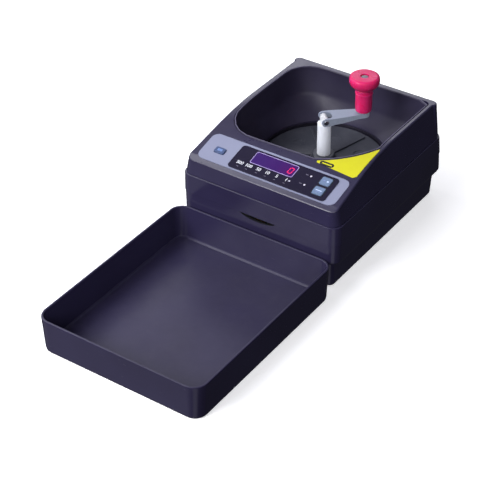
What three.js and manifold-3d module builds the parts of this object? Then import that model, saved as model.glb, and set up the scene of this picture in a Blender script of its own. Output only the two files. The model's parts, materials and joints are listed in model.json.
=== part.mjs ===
// Hand-cranked desktop coin sorting and counting machine with a catch tray.
// Millimetres, +Z up; the user sits at -Y, with +X to the right. Parts are laid out
// in machine coordinates, where y = 0 is the housing's front face. The last step
// shifts the machine so that the origin is the middle of its footprint on the table.
import * as THREE from 'three';
import { mergeVertices } from 'three/addons/utils/BufferGeometryUtils.js';
import Module from 'manifold-3d';

const wasm = await Module();
wasm.setup();

const DEG = Math.PI / 180;

// ------------------------------------------------------- shared dimensions
// housing
const BODY_HALF = 87;          // half width of the lower housing
const BODY_DEPTH = 197;        // front face to rear face, at the ledge
const BODY_R = 10.7;           // plan radius of the vertical corners
const REAR_FLARE = 4.7;        // how far the rear wall leans out towards its lower edge
const OVERHANG_Z = 28;         // underside of the housing's overhang
const FLARE_Z = OVERHANG_Z + 3.2; // height where the rear wall leans out fully
const FLARE_INSET = 0.7;       // inset of the wall at that height
const LEDGE_Z = 69.5;          // top of the lower housing
const FOOT_H = 1.2;            // rubber feet
const FLOOR_Z = FOOT_H + 2.4;  // upper face of the floor
const BATTERY_DOOR = { x0: -33, x1: 33, y0: 20, y1: 80 };
// hopper and the round well at its bottom
const HOPPER = {
  x0: -74, x1: 75, y0: 50.3, y1: 188.5,
  leftR: 30, rearRightR: 6,
  arcX: -3, arcY: 134, arcR: 88.8, // the wide front-right arc
};
const AXIS_Y = 116;            // crank axis, at x = 0
const BOWL_Z = 56.2;           // underside of the bowl
// deck under the disc, coin outlet
const DECK_Z = 46.4;
const DECK_TOP = DECK_Z + 2.6;
const SLOT_X = 0.9;            // middle of the outlet and chute
// crank
const POST_R = 6.6;
const PIN_Z = 98.5;            // hinge pin of the arm
const PIN_HOLE_R = 1.56;
const ARM_ANGLE = 45 * DEG;    // where the arm points at rest, from +X
// gears
const BIG_TEETH = 48;
const SMALL_TEETH = 12;
const GEAR_MODULE = 1.25;
const GEAR_Z0 = 38;
const GEAR_Z1 = 43;
const MESH_ANGLE = 135;        // degrees, direction from the crank axis to the encoder
const GEAR_SPACING = (BIG_TEETH + SMALL_TEETH) * GEAR_MODULE / 2;
const ENCODER_X = GEAR_SPACING * Math.cos(MESH_ANGLE * DEG);
const ENCODER_Y = AXIS_Y + GEAR_SPACING * Math.sin(MESH_ANGLE * DEG);
// tray
const TRAY_LEN = 210;
const TRAY_GAP = 3;            // between tray and housing

// [x, y] places, mirrored left to right; left comes first
const pair = (x, y) => [[-x, y], [x, y]];
const FRONT_POSTS = pair(70, 22);
const REAR_POSTS = pair(66, 184.4);
const CASE_POSTS = [...FRONT_POSTS, ...REAR_POSTS];
const DECK_PILLARS = [...pair(62, 64), ...pair(62, 168)];

// --------------------------------------------------------------- materials
const MATERIALS = {
  housing: { color: '#3a3650', roughness: 0.32, metalness: 0 },
  interior: { color: '#2c2a38', roughness: 0.28, metalness: 0 },
  silver: { color: '#b4b8d2', roughness: 0.42, metalness: 0.35 },
  black: { color: '#23222c', roughness: 0.2, metalness: 0 },
  steel: { color: '#b9bcc4', roughness: 0.3, metalness: 1 },
  bronze: { color: '#b08d57', roughness: 0.35, metalness: 1 },
  ribbon: { color: '#8c8f98', roughness: 0.45, metalness: 0.6 },
  white: { color: '#e2e4e6', roughness: 0.4, metalness: 0 },
  pink: { color: '#dc2f6b', roughness: 0.38, metalness: 0 },
  paleKey: { color: '#a9c4da', roughness: 0.35, metalness: 0 },
  blueKey: { color: '#7f9fca', roughness: 0.35, metalness: 0 },
  board: { color: '#1f5c3a', roughness: 0.5, metalness: 0 },
  natural: { color: '#cfcdc2', roughness: 0.45, metalness: 0 },
  rubber: { color: '#1d1d1f', roughness: 0.85, metalness: 0 },
  yellow: { color: '#ece62a', roughness: 0.5, metalness: 0 },
  disc: { color: '#77808c', roughness: 0.4, metalness: 0.2 },
  battery: { color: '#3c4a52', roughness: 0.35, metalness: 0.3 },
  module: { color: '#4d4f58', roughness: 0.4, metalness: 0.2 },
  window: { color: '#6b3bb0', roughness: 0.1, metalness: 0, transparent: true, opacity: 0.55 },
  lamp: {
    color: '#f4f6ff', roughness: 0.25, metalness: 0,
    emissive: '#cfd6ff', emissiveIntensity: 0.6,
  },
};

// ------------------------------------------------------- meshes and solids
function frame(parent, name, position = [0, 0, 0]) {
  const result = new THREE.Group();
  result.name = name;
  result.position.set(...position);
  parent.add(result);
  return result;
}
// positions only, welded, without collapsed triangles
function clean(source) {
  let geo = source.clone();
  for (const key of Object.keys(geo.attributes)) {
    if (key !== 'position') geo.deleteAttribute(key);
  }
  geo = mergeVertices(geo, 1e-4);
  const corners = geo.index.array;
  const kept = [];
  for (let i = 0; i < corners.length; i += 3) {
    const [first, second, third] = corners.slice(i, i + 3);
    if (first !== second && second !== third && first !== third) {
      kept.push(first, second, third);
    }
  }
  geo.setIndex(kept);
  return geo;
}
function toSolid(shape) {
  if (shape instanceof wasm.Manifold) return shape;
  const geo = clean(shape);
  return new wasm.Manifold(new wasm.Mesh({
    numProp: 3,
    vertProperties: new Float32Array(geo.attributes.position.array),
    triVerts: new Uint32Array(geo.index.array),
  }));
}
function indexedGeometry(positions, index) {
  const geo = new THREE.BufferGeometry();
  geo.setAttribute('position', new THREE.Float32BufferAttribute(positions, 3));
  geo.setIndex(index);
  return geo;
}
function fromSolid(solid) {
  const { vertProperties, triVerts } = solid.getMesh();
  return indexedGeometry(vertProperties, Array.from(triVerts));
}
const union = (...shapes) => shapes.map(toSolid).reduce((all, next) => all.add(next));
const subtract = (body, ...tools) =>
  tools.map(toSolid).reduce((rest, tool) => rest.subtract(tool), toSolid(body));
const intersect = (first, second) => toSolid(first).intersect(toSolid(second));

function put(parent, name, shape, finish) {
  const indexed = shape instanceof wasm.Manifold ? fromSolid(shape) : clean(shape);
  const geo = indexed.toNonIndexed();
  geo.computeVertexNormals();
  const mesh = new THREE.Mesh(geo, new THREE.MeshStandardMaterial(finish));
  mesh.material.name = name;
  mesh.name = name;
  parent.add(mesh);
}

// -------------------------------------------------------------- primitives
function box(x0, x1, y0, y1, z0, z1) {
  return new THREE.BoxGeometry(x1 - x0, y1 - y0, z1 - z0)
    .translate((x0 + x1) / 2, (y0 + y1) / 2, (z0 + z1) / 2);
}
// an upright round bar
function rod(x, y, z0, z1, radius, segments = 28) {
  return new THREE.CylinderGeometry(radius, radius, z1 - z0, segments, 1)
    .rotateX(Math.PI / 2)
    .translate(x, y, (z0 + z1) / 2);
}
// equal upright bars at several [x, y] places
const rods = (places, z0, z1, radius, segments) =>
  places.map(([x, y]) => rod(x, y, z0, z1, radius, segments));
// a round bar lying along Y, centred on the point
const lyingRod = (x, y, z, radius, length) =>
  new THREE.CylinderGeometry(radius, radius, length, 16).translate(x, y, z);
// a turned piece about the Y axis; profile is [radius, y]
const lathe = (profile, segments) =>
  new THREE.LatheGeometry(profile.map((point) => new THREE.Vector2(...point)), segments);
// a turned piece about the upright line through x, y; profile is [radius, z]
const turned = (x, y, profile, segments) =>
  lathe(profile, segments).rotateX(Math.PI / 2).translate(x, y, 0);
// an upright tube about the crank axis
const axisTube = (inner, outer, z0, z1, segments) => turned(0, AXIS_Y,
  [[inner, z0], [outer, z0], [outer, z1], [inner, z1], [inner, z0]], segments);

function extrude(points, depth) {
  const shape = new THREE.Shape(points.map((point) => new THREE.Vector2(...point)));
  return new THREE.ExtrudeGeometry(shape, { depth, bevelEnabled: false });
}
// an upright prism on an [x, y] outline
const prism = (points, z0, z1) => extrude(points, z1 - z0).translate(0, 0, z0);
// a bar along X with a [y, z] section
const barAlongX = (points, x0, x1) => extrude(points, x1 - x0)
  .applyMatrix4(new THREE.Matrix4().set(0, 0, 1, x0, 1, 0, 0, 0, 0, 1, 0, 0, 0, 0, 0, 1));
// a bar along Y with an [x, z] section
const barAlongY = (points, y0, y1) => extrude(points, y1 - y0)
  .applyMatrix4(new THREE.Matrix4().set(1, 0, 0, 0, 0, 0, -1, y1, 0, 1, 0, 0, 0, 0, 0, 1));
// copies of a piece spread evenly about Z
const spread = (count, startDeg, make) => Array.from({ length: count },
  (_, i) => make().rotateZ((startDeg + 360 * i / count) * DEG));

// points on an arc or elliptical arc, angles in degrees
function arc([centreX, centreY], [radiusX, radiusY], [start, end], steps) {
  return Array.from({ length: steps + 1 }, (_, i) => {
    const angle = (start + (end - start) * i / steps) * DEG;
    return [centreX + radiusX * Math.cos(angle), centreY + radiusY * Math.sin(angle)];
  });
}
function roundRect(x0, x1, y0, y1, radius, segments = 6) {
  const corners = [
    [x1 - radius, y0 + radius, -90], [x1 - radius, y1 - radius, 0],
    [x0 + radius, y1 - radius, 90], [x0 + radius, y0 + radius, 180],
  ];
  return corners.flatMap(([x, y, start]) =>
    arc([x, y], [radius, radius], [start, start + 90], segments));
}
// a rectangle { x0, x1, y0, y1, radius } enlarged on every side
const grownRect = (rect, grow, segments = 6, radius = rect.radius + grow) => roundRect(
  rect.x0 - grow, rect.x1 + grow, rect.y0 - grow, rect.y1 + grow, radius, segments);

// a rounded rectangle with outward normals and extra stations along its sides;
// the left half mirrors the right half point for point
function planRing(half, y0, y1, radius, stations = []) {
  const corner = (centreY, start) => arc([0, 0], [1, 1], [start, start + 90], 6)
    .map(([nx, ny]) => ({ x: half - radius + radius * nx, y: centreY + radius * ny, nx, ny }));
  const right = [
    ...corner(y0 + radius, -90),
    ...stations.map((y) => ({ x: half, y, nx: 1, ny: 0 })),
    ...corner(y1 - radius, 0),
  ];
  const left = [...right].reverse().map((point) => ({ ...point, x: -point.x, nx: -point.nx }));
  return [...right, ...left];
}
const insetRing = (ring, inset, z) =>
  ring.map((point) => [point.x - point.nx * inset, point.y - point.ny * inset, z]);

// a skin through a stack of rings with equal point counts, each counter-clockwise
// from above while the stack climbs; a closed stack joins its last ring to its first
function ringSkin(rings, closed = false) {
  const count = rings[0].length;
  const index = [];
  const bands = closed ? rings.length : rings.length - 1;
  for (let k = 0; k < bands; k++) {
    const lower = k * count;
    const upper = ((k + 1) % rings.length) * count;
    for (let i = 0; i < count; i++) {
      const next = (i + 1) % count;
      index.push(lower + i, lower + next, upper + next, lower + i, upper + next, upper + i);
    }
  }
  // an open stack has mirrored rings, so each end closes with strips across it
  const closeEnd = (base, facesUp) => {
    for (let i = 0; i < count / 2 - 1; i++) {
      const right = base + i;
      const left = base + count - 1 - i;
      if (facesUp) index.push(right, right + 1, left - 1, right, left - 1, left);
      else index.push(right, left - 1, right + 1, right, left, left - 1);
    }
  };
  if (!closed) {
    closeEnd(0, false);
    closeEnd((rings.length - 1) * count, true);
  }
  return indexedGeometry(rings.flat(2), index);
}

// --------------------------------------------------------- the top surface
const PANEL_Z0 = 84.8;         // height of the sloping panel plane at y = 0
const PANEL_SLOPE = 0.247;     // rise per mm
const PANEL_END = 50;          // y where the slope starts to flatten
const PANEL_BLEND = 64;        // length over which it flattens
const TOP_STATIONS = [50, 58, 66, 74, 82, 90, 98, 106, 114, 150]; // y values

function topZ(y) {
  if (y <= PANEL_END) return PANEL_Z0 + PANEL_SLOPE * y;
  const past = Math.min(y - PANEL_END, PANEL_BLEND);
  return PANEL_Z0 + PANEL_SLOPE * (PANEL_END + past - past * past / (2 * PANEL_BLEND));
}

const group = new THREE.Group();
group.name = 'coin_sorting_machine';
const machine = frame(group, 'machine_frame');
// panel coordinates: y runs up the slope, z stands off the surface
const panel = frame(machine, 'panel_frame', [0, 0, PANEL_Z0]);
panel.rotation.x = Math.atan(PANEL_SLOPE);
panel.updateMatrix();
const fromPanel = (geo) => geo.applyMatrix4(panel.matrix);

// ----------------------------------------------------------- lower housing
const SEAM_Z = 50;             // seam line around the housing
const BODY_WALL = 3;
const SIDE_STATIONS = [40, 100, 150]; // y values
const PLINTH = { half: 80.3, front: 4, rear: 193.5, radius: 6.5, wall: 2.8 };
const PLINTH_LEAN = 0.7;       // rear wall's lean at the table

function wallRing(inset, z) {
  const share = THREE.MathUtils.clamp((LEDGE_Z - z) / (LEDGE_Z - FLARE_Z), 0, 1);
  const rear = BODY_DEPTH + REAR_FLARE * share;
  return insetRing(planRing(BODY_HALF, 0, rear, BODY_R, SIDE_STATIONS), inset, z);
}
function plinthRing(inset, z) {
  const lean = PLINTH_LEAN + (REAR_FLARE - PLINTH_LEAN) * Math.min(1, z / OVERHANG_Z);
  const { half, front, rear, radius } = PLINTH;
  return insetRing(planRing(half, front, rear + lean, radius, SIDE_STATIONS), inset, z);
}
// the coin outlet: straight along its top, sagging along its bottom
function outletTool() {
  const half = 19.6;
  const top = 50.2;
  const sag = 4.5;
  const steps = 16;
  const outline = [];
  for (let i = 0; i <= steps; i++) {
    const across = -1 + 2 * i / steps;
    outline.push([SLOT_X + half * across, top - sag * Math.pow(1 - across * across, 0.6)]);
  }
  outline.push([SLOT_X + half, top + 0.35], [SLOT_X - half, top + 0.35]);
  return barAlongY(outline, -5, 7);
}
function addLowerHousing() {
  // columns: inset from the wall, z
  const tower = ringSkin([
    [2.6, OVERHANG_Z], [1.5, OVERHANG_Z + 0.6], [0.8, OVERHANG_Z + 2], [FLARE_INSET, FLARE_Z],
    [0.5, SEAM_Z - 0.35], [0, SEAM_Z], [0, SEAM_Z + 0.2],
    [0.35, LEDGE_Z - 0.9], [0.55, LEDGE_Z - 0.3], [0.95, LEDGE_Z],
  ].map((row) => wallRing(...row)));
  const plinth = ringSkin([
    [1.2, FOOT_H], [0.5, FOOT_H + 0.5], [0.2, FOOT_H + 1.6], [0, OVERHANG_Z + 4],
  ].map((row) => plinthRing(...row)));
  const towerHollow = ringSkin([
    [BODY_WALL + 0.4, OVERHANG_Z + 2.4], [BODY_WALL, SEAM_Z], [BODY_WALL, LEDGE_Z + 5],
  ].map((row) => wallRing(...row)));
  const plinthHollow = ringSkin([
    plinthRing(PLINTH.wall, FLOOR_Z), plinthRing(PLINTH.wall, OVERHANG_Z + 3),
  ]);
  const shell = subtract(union(tower, plinth), towerHollow, plinthHollow);
  const withPosts = union(shell,
    ...rods(CASE_POSTS, FLOOR_Z - 1, 66, 5, 16),
    ...rods(DECK_PILLARS, FLOOR_Z - 1, DECK_Z, 4, 14),
    rod(-47, 142.5, FLOOR_Z - 1, 29.8, 3, 12)); // post under the encoder board
  const opened = subtract(withPosts,
    ...rods(CASE_POSTS, -1, 59, 3.3, 16),
    ...rods(CASE_POSTS, 58, 67, 1.7, 16),
    ...rods(DECK_PILLARS, 36, DECK_Z + 1, 1.3, 12),
    prism(grownRect(BATTERY_DOOR, 1, 2, 2), FOOT_H - 1, FLOOR_Z + 1),
    outletTool());
  // a shallow lip inside the floor opening, above the battery cover
  const lip = subtract(
    prism(grownRect(BATTERY_DOOR, 2, 2, 2), FLOOR_Z - 0.9, FLOOR_Z),
    prism(grownRect(BATTERY_DOOR, -2, 2, 2), FLOOR_Z - 2, FLOOR_Z + 1));
  put(machine, 'lower_housing', union(opened, lip), MATERIALS.housing);
  put(machine, 'battery_cover',
    prism(grownRect(BATTERY_DOOR, 0.7, 2, 1.7), FOOT_H + 0.1, FLOOR_Z - 1), MATERIALS.housing);
}
function addFeet() {
  const profile = [[0, 0], [5.4, 0], [6, 0.4], [6, FOOT_H], [0, FOOT_H]];
  const names = ['front_left', 'front_right', 'rear_left', 'rear_right'];
  [...pair(62, 38), ...pair(62, 160)].forEach(([x, y], i) =>
    put(machine, `foot_${names[i]}`, turned(x, y, profile, 18), MATERIALS.rubber));
}
// long screws that hold the top cover down, entered from below
function addCaseScrews() {
  const profile = [
    [0, 57.2], [2.6, 57.2], [2.9, 57.8], [2.9, 58.95], [1.4, 58.95],
    [1.4, 74], [0.6, 75.5], [0, 75.5],
  ];
  CASE_POSTS.forEach(([x, y], i) => {
    const driverSlot = box(x - 1.6, x + 1.6, y - 0.4, y + 0.4, 56, 58.1);
    put(machine, `case_screw_${i + 1}`, subtract(turned(x, y, profile, 12), driverSlot),
      MATERIALS.steel);
  });
}

// ------------------------------------------------------ layout of the panel
const INLAY = { x0: -75.2, x1: 76, y0: 9.4, y1: 44, radius: 7 };
const GLASS = { x0: -40.5, x1: 65.5, y0: 11, y1: 41, radius: 3.5 };
const WINDOW = { x0: -22.6, x1: 22.4, y0: 24.6, y1: 38.2, radius: 1.2 };
const DISPLAY_KEYS = [
  { name: 'count_key', x: 54.8, y: 33.2, width: 10.8, height: 9.6, finish: MATERIALS.paleKey },
  { name: 'clear_key', x: 54.8, y: 20.4, width: 10.8, height: 9.6, finish: MATERIALS.paleKey },
];
const KEYS = [
  ...DISPLAY_KEYS,
  { name: 'power_key', x: -57, y: 24.8, width: 11, height: 7.2, finish: MATERIALS.blueKey },
];
const KEY_R = 1.4;
const KEY_GAP = 0.35;
const LAMPS = { upper_lamp: [38.8, 33.4], lower_lamp: [38.8, 21.6] };
const BOARD_POSTS = [...pair(66, 13), ...pair(66, 41)];

const keyOutline = ({ x, y, width, height }, grow, radius, segments = 3) => roundRect(
  x - width / 2 - grow, x + width / 2 + grow,
  y - height / 2 - grow, y + height / 2 + grow, radius, segments);
const keyHoles = (keys, z0, z1) =>
  keys.map((key) => prism(keyOutline(key, KEY_GAP, KEY_R + KEY_GAP), z0, z1));
const lampHoles = (z0, z1) => rods(Object.values(LAMPS), z0, z1, 1.2, 14);
const panelHoles = (z0, z1) => [
  prism(grownRect(WINDOW, 0.4, 4), z0, z1), ...keyHoles(KEYS, z0, z1), ...lampHoles(z0, z1),
];

// --------------------------------------------------------------- top cover
const COVER_INSET = 1.5;       // step from housing wall to cover wall
const COVER_T = 2.5;
const COVER_EDGE = 1.5;        // rounding of the top edge
const DRAFT = 0.19;            // lean of the front and side walls, mm per mm
const DRAFT_REAR = 0.045;

function coverRing(inset, zOf) {
  const plan = planRing(BODY_HALF - COVER_INSET, COVER_INSET, BODY_DEPTH - COVER_INSET,
    BODY_R - 0.7, TOP_STATIONS);
  return plan.map(({ x, y, nx, ny }) => {
    const z = zOf(y);
    const rearShare = Math.max(0, ny);
    const draft = DRAFT * (1 - rearShare) + DRAFT_REAR * rearShare;
    const shift = draft * (z - LEDGE_Z) + inset;
    return [x - nx * shift, y - ny * shift, z];
  });
}
// arc on the hopper's front-right centre, between two distances to its right
const frontRightArc = (radius, fromX, toX, steps) => arc(
  [HOPPER.arcX, HOPPER.arcY], [radius, radius],
  [fromX, toX].map((distance) => -Math.acos(distance / radius) / DEG), steps);

// plan outline of the hopper opening, counter-clockwise
function hopperOutline(inset) {
  const { x0, x1, y0, y1, leftR, rearRightR, arcX, arcR } = HOPPER;
  const corner = (x, y, radius, start, steps) =>
    arc([x, y], [radius - inset, radius - inset], [start, start + 90], steps);
  return [
    ...frontRightArc(arcR - inset, 33, x1 - inset - arcX, 12)
      .map(([x, y]) => [x, Math.max(y0 + inset, y)]),
    ...corner(x1 - rearRightR, y1 - rearRightR, rearRightR, 0, 5),
    ...corner(x0 + leftR, y1 - leftR, leftR, 90, 8),
    ...corner(x0 + leftR, y0 + leftR, leftR, 180, 8),
  ];
}
function addTopCover() {
  const edgeRings = [0, 30, 60, 90].map((angle) => coverRing(
    COVER_EDGE * (1 - Math.cos(angle * DEG)),
    (y) => topZ(y) - COVER_EDGE + COVER_EDGE * Math.sin(angle * DEG)));
  const outside = ringSkin([
    coverRing(0.35, () => LEDGE_Z + 0.15), coverRing(0, () => LEDGE_Z + 0.6), ...edgeRings,
  ]);
  const inside = ringSkin([
    coverRing(COVER_T, () => LEDGE_Z - 2), coverRing(COVER_T + 0.2, (y) => topZ(y) - COVER_T),
  ]);
  // posts for the circuit board hang under the panel
  const boardPosts = union(...rods(BOARD_POSTS, -7.9, -1, 2.6, 16).map(fromPanel));
  // bosses for the case screws; a web ties each rear one to the rear wall
  const bossZ = 66.1;
  const rearBossTop = 78;
  const frontBosses = FRONT_POSTS.map(([x, y]) => rod(x, y, bossZ, topZ(y) - 1.5, 3.6, 20));
  const rearBosses = REAR_POSTS.map(([x, y]) => union(
    rod(x, y, bossZ, rearBossTop, 3.4, 20),
    box(x - 1.5, x + 1.5, y + 2, BODY_DEPTH - 3, 70.2, rearBossTop)));
  const body = union(subtract(outside, inside), intersect(boardPosts, outside),
    ...frontBosses, ...rearBosses);
  const panelTools = [
    prism(grownRect(INLAY, 0), -0.8, 6),
    ...panelHoles(-8, 3),
    ...rods(BOARD_POSTS, -9, -2.9, 0.95, 12),
  ];
  put(machine, 'top_cover', subtract(body,
    ...rods(CASE_POSTS, 60, 76, 1.45, 16),
    prism(hopperOutline(0), 66, 130),
    ...panelTools.map(fromPanel)), MATERIALS.housing);
}

// ---------------------------------------------------- parts on the panel
function addPanelFace() {
  put(panel, 'panel_inlay', subtract(
    prism(grownRect(INLAY, -0.15), -0.78, 0.1), ...panelHoles(-3, 3)), MATERIALS.silver);
  put(panel, 'display_panel', subtract(
    prism(grownRect(GLASS, 0), 0.12, 0.72),
    prism(grownRect(WINDOW, 0.15, 4), -3, 3),
    ...keyHoles(DISPLAY_KEYS, -3, 3),
    ...lampHoles(-3, 3)), MATERIALS.black);
  put(panel, 'display_window', prism(grownRect(WINDOW, 0, 4), -1.6, 0.68), MATERIALS.window);
  const margin = 1.6;
  put(panel, 'display_module', box(WINDOW.x0 - margin, WINDOW.x1 + margin,
    WINDOW.y0 - margin, WINDOW.y1 + margin, -7.9, -2.8), MATERIALS.module);
}
// a key is a cap through the panel on a wider skirt that keeps it in
function addKey(key) {
  const { name, x, y, finish } = key;
  const cap = prism(keyOutline(key, 0, KEY_R), -3.2, 1.1);
  const capTop = prism(keyOutline(key, -0.35, 1.1), 1, 1.5);
  const skirt = prism(keyOutline(key, 0.9, 1.6, 2), -4.2, -3.1);
  const stem = rod(x, y, -5, -4.1, 1.5, 14);
  put(panel, name, union(cap, capTop, skirt, stem), finish);
  put(panel, `${name}_switch`, union(
    box(x - 3, x + 3, y - 3, y + 3, -8, -6.6), rod(x, y, -6.7, -6.3, 1.6, 14)),
  MATERIALS.rubber);
}
function addLamps() {
  const profile = [
    [0, -8], [1.4, -8], [1.4, -3.4], [1.05, -3.2], [1.05, 0.5], [0.6, 0.95], [0, 1.05],
  ];
  for (const [name, [x, y]] of Object.entries(LAMPS)) {
    put(panel, name, turned(x, y, profile, 14), MATERIALS.lamp);
  }
}
function addMainBoard() {
  // the board has a notch in each short edge
  put(panel, 'main_board', subtract(prism(roundRect(-70, 70, 9, 45.5, 2, 2), -9.6, -8.02),
    box(-71, -65.9, 16, 25.2, -12, -6), box(65.9, 71, 16, 25.2, -12, -6),
    ...rods(BOARD_POSTS, -12, -6, 1.3, 10)), MATERIALS.board);
  const screwProfile = [
    [0, -11.2], [1.7, -11.2], [2.1, -10.6], [2.1, -9.62], [0.9, -9.62], [0.9, -4.2], [0, -3.6],
  ];
  BOARD_POSTS.forEach(([x, y], i) => put(panel, `board_screw_${i + 1}`,
    turned(x, y, screwProfile, 12), MATERIALS.steel));
}
// a plain yellow label, roughly triangular, at the hopper's front-right corner
function addCornerLabel() {
  const outline = [
    [33.5, 49.9], [73.4, 46.9], [76.4, 49.4], [76.6, 88.6], [75.9, 90.6],
    ...frontRightArc(HOPPER.arcR + 0.9, 78.6, 35.5, 10),
  ];
  const rows = [44, ...TOP_STATIONS.filter((y) => y > 44 && y < 96), 96];
  const above = (rise) => rows.map((y) => [y, topZ(y) + rise]);
  const layer = barAlongX([...above(0.03), ...above(0.35).reverse()], 20, 79.5);
  put(machine, 'corner_label', intersect(prism(outline, 90, 112), layer), MATERIALS.yellow);
}

// ------------------------------------------------------------- hopper bowl
const WELL_R = 62;             // round bottom of the hopper
const BOWL_WALL = 1.9;
const BOWL_POINTS = 60;        // points around each ring
// blend is 0 at the rim's outline and 1 at the round well; columns: blend, z
const BOWL_OUTSIDE = [[1, BOWL_Z], [1, BOWL_Z + 1.6], [0.4, 70], [0.12, 79]];
const BOWL_INSIDE = [
  [0.12, 79.6], [0.245, 75.2], [0.4, 70.8], [0.585, 66.4], [0.78, 62.2],
  [1, BOWL_Z + 1.8], [1, BOWL_Z],
];
// columns: share of the way from outer to inner outline, height over the top surface
const BOWL_RIM = [[0, -5], [0, 0.1], [0.25, 0.5], [0.6, 0.5], [1, -0.3], [1, -5]];

const bowlAngle = (k) => 2 * Math.PI * k / BOWL_POINTS;
// distances from the crank axis to an outline, along evenly spread rays
function rayDistances(outline) {
  return Array.from({ length: BOWL_POINTS }, (_, k) => {
    const rayX = Math.cos(bowlAngle(k));
    const rayY = Math.sin(bowlAngle(k));
    let farthest = 0;
    outline.forEach(([x, y], i) => {
      const [nextX, nextY] = outline[(i + 1) % outline.length];
      const edgeX = nextX - x;
      const edgeY = nextY - y;
      const cross = rayX * edgeY - rayY * edgeX;
      if (Math.abs(cross) < 1e-9) return;
      const fromAxis = y - AXIS_Y;
      const distance = (x * edgeY - fromAxis * edgeX) / cross;
      const along = (x * rayY - fromAxis * rayX) / cross;
      if (distance > 0 && along >= -1e-6 && along <= 1 + 1e-6) {
        farthest = Math.max(farthest, distance);
      }
    });
    return farthest;
  });
}
const bowlRing = (radii, zOf) => radii.map((radius, k) => {
  const y = AXIS_Y + radius * Math.sin(bowlAngle(k));
  return [radius * Math.cos(bowlAngle(k)), y, zOf(y)];
});
function addHopperBowl() {
  const outer = rayDistances(hopperOutline(0.25));
  const inner = rayDistances(hopperOutline(0.25 + BOWL_WALL));
  const wall = (radii, wellR, table) => table.map(([blend, z]) =>
    bowlRing(radii.map((radius) => radius + (wellR - radius) * blend), () => z));
  const rim = BOWL_RIM.map(([share, rise]) => bowlRing(
    outer.map((radius, k) => radius * (1 - share) + inner[k] * share),
    (y) => topZ(y) + rise));
  put(machine, 'hopper_bowl', ringSkin([
    ...wall(outer, WELL_R + BOWL_WALL, BOWL_OUTSIDE),
    ...rim,
    ...wall(inner, WELL_R, BOWL_INSIDE),
  ], true), MATERIALS.interior);
}

// ------------------------------------------------------- deck, chute, gate
function addDeck() {
  const plates = union(
    prism(roundRect(-69, 69, 56, 178, 10), DECK_Z + 0.02, DECK_TOP),
    prism(roundRect(-30, 30, 50, 70, 3), DECK_Z + 0.02, DECK_TOP),
    axisTube(61, 63.6, 46.6, BOWL_Z - 0.1, 48));
  put(machine, 'disc_deck', subtract(plates,
    box(SLOT_X - 22.5, SLOT_X + 22.5, 40, 66, DECK_TOP, 60), // coin way through the ring
    rod(0, AXIS_Y, 40, 60, 8.7, 32),
    rod(ENCODER_X, ENCODER_Y, 40, 60, 1.6, 14),
    ...rods(DECK_PILLARS, 40, 60, 1.7, 14)), MATERIALS.interior);
  const headZ = DECK_TOP + 0.02;
  const screwProfile = [
    [0, 37.5], [1.25, 38.5], [1.25, headZ], [3, headZ], [3, 50.6], [0, 50.6],
  ];
  DECK_PILLARS.forEach(([x, y], i) => put(machine, `deck_screw_${i + 1}`,
    turned(x, y, screwProfile, 12), MATERIALS.steel));
}
function addChute() {
  const low = { y: 3.3, z: 47.9 };
  const rise = 53.5 - low.z;
  const run = 54.6 - low.y;
  const length = Math.hypot(rise, run);
  const half = 21;
  const chute = frame(machine, 'chute_frame', [SLOT_X, low.y, low.z]);
  chute.rotation.x = Math.atan(rise / run);
  put(chute, 'outlet_chute', union(
    box(-half, half, 0, length, -1, 0),
    box(-half, 1 - half, 1, length, -1, 5),
    box(half - 1, half, 1, length, -1, 5),
    box(-half, half, length - 2.4, length - 1.4, -3.4, -0.5)), MATERIALS.black);
  put(chute, 'coin_sensor', subtract(
    box(-half, half, 12, 34, 5.03, 11), box(-14, 14, 15, 31, 3, 7)), MATERIALS.black);
}
function addCoinGate() {
  put(machine, 'coin_gate', intersect(
    axisTube(60.5, 61.6, 56.5, 63.5, 60), box(-26, 28, 40, 90, 50, 70)), MATERIALS.steel);
}
// flat cable between the board and the coin sensor; section columns: y, z
function addSensorRibbon() {
  const section = [
    [24, 61.35], [30, 61.95], [33.2, 64.5], [33.2, 74], [30.6, 78.6], [24, 78.6],
    [24, 77.9], [30.1, 77.9], [32.5, 73.8], [32.5, 64.9], [29.6, 62.6], [24, 62.1],
  ];
  put(machine, 'sensor_ribbon', barAlongX(section, -8, 8), MATERIALS.ribbon);
}

// ---------------------------------------------------- disc, post and gears
function addCoinDisc(drive) {
  const radius = 60;
  const top = 54;
  const bottom = top - 4.4;
  const profile = [
    [0, bottom], [radius - 0.6, bottom], [radius, bottom + 0.6], [radius, top - 0.5],
    [radius - 0.5, top], [12.5, top], [11, top + 5.2], [10, top + 6], [0, top + 6],
  ];
  const ribs = spread(6, 15, () => box(14, 55, -1.1, 1.1, top - 0.5, top + 1.4));
  const dimples = spread(6, 45, () => rod(36, 0, top - 0.6, top + 2, 6.2, 14));
  put(drive, 'coin_disc', subtract(union(turned(0, 0, profile, 48), ...ribs),
    ...dimples, rod(0, 0, 40, 70, POST_R + 0.05)), MATERIALS.disc);
}
// a shaft below, a flat tongue with a round top above, drilled for the hinge pin
function addCrankPost(drive) {
  const top = 94.6;
  const tongueR = 3.1;
  const tongueSection = [
    [-tongueR, top - 1], [tongueR, top - 1],
    ...arc([0, PIN_Z], [tongueR, tongueR], [0, 180], 12),
  ];
  const tongue = intersect(barAlongY(tongueSection, -5.4, 5.4), rod(0, 0, 90, 110, POST_R));
  const profile = [
    [0, 28], [3.6, 28], [4, 28.4], [4, 36.6], [3.2, 36.6], [3.2, 37.7], [5.5, 37.7],
    [5.5, 44.2], [POST_R, 44.2], [POST_R, top - 0.5], [POST_R - 0.5, top], [0, top],
  ];
  const post = subtract(union(turned(0, 0, profile, 28), tongue),
    lyingRod(0, 0, PIN_Z, PIN_HOLE_R, 20));
  put(drive, 'crank_post', fromSolid(post).rotateZ(ARM_ANGLE), MATERIALS.white);
}
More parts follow.
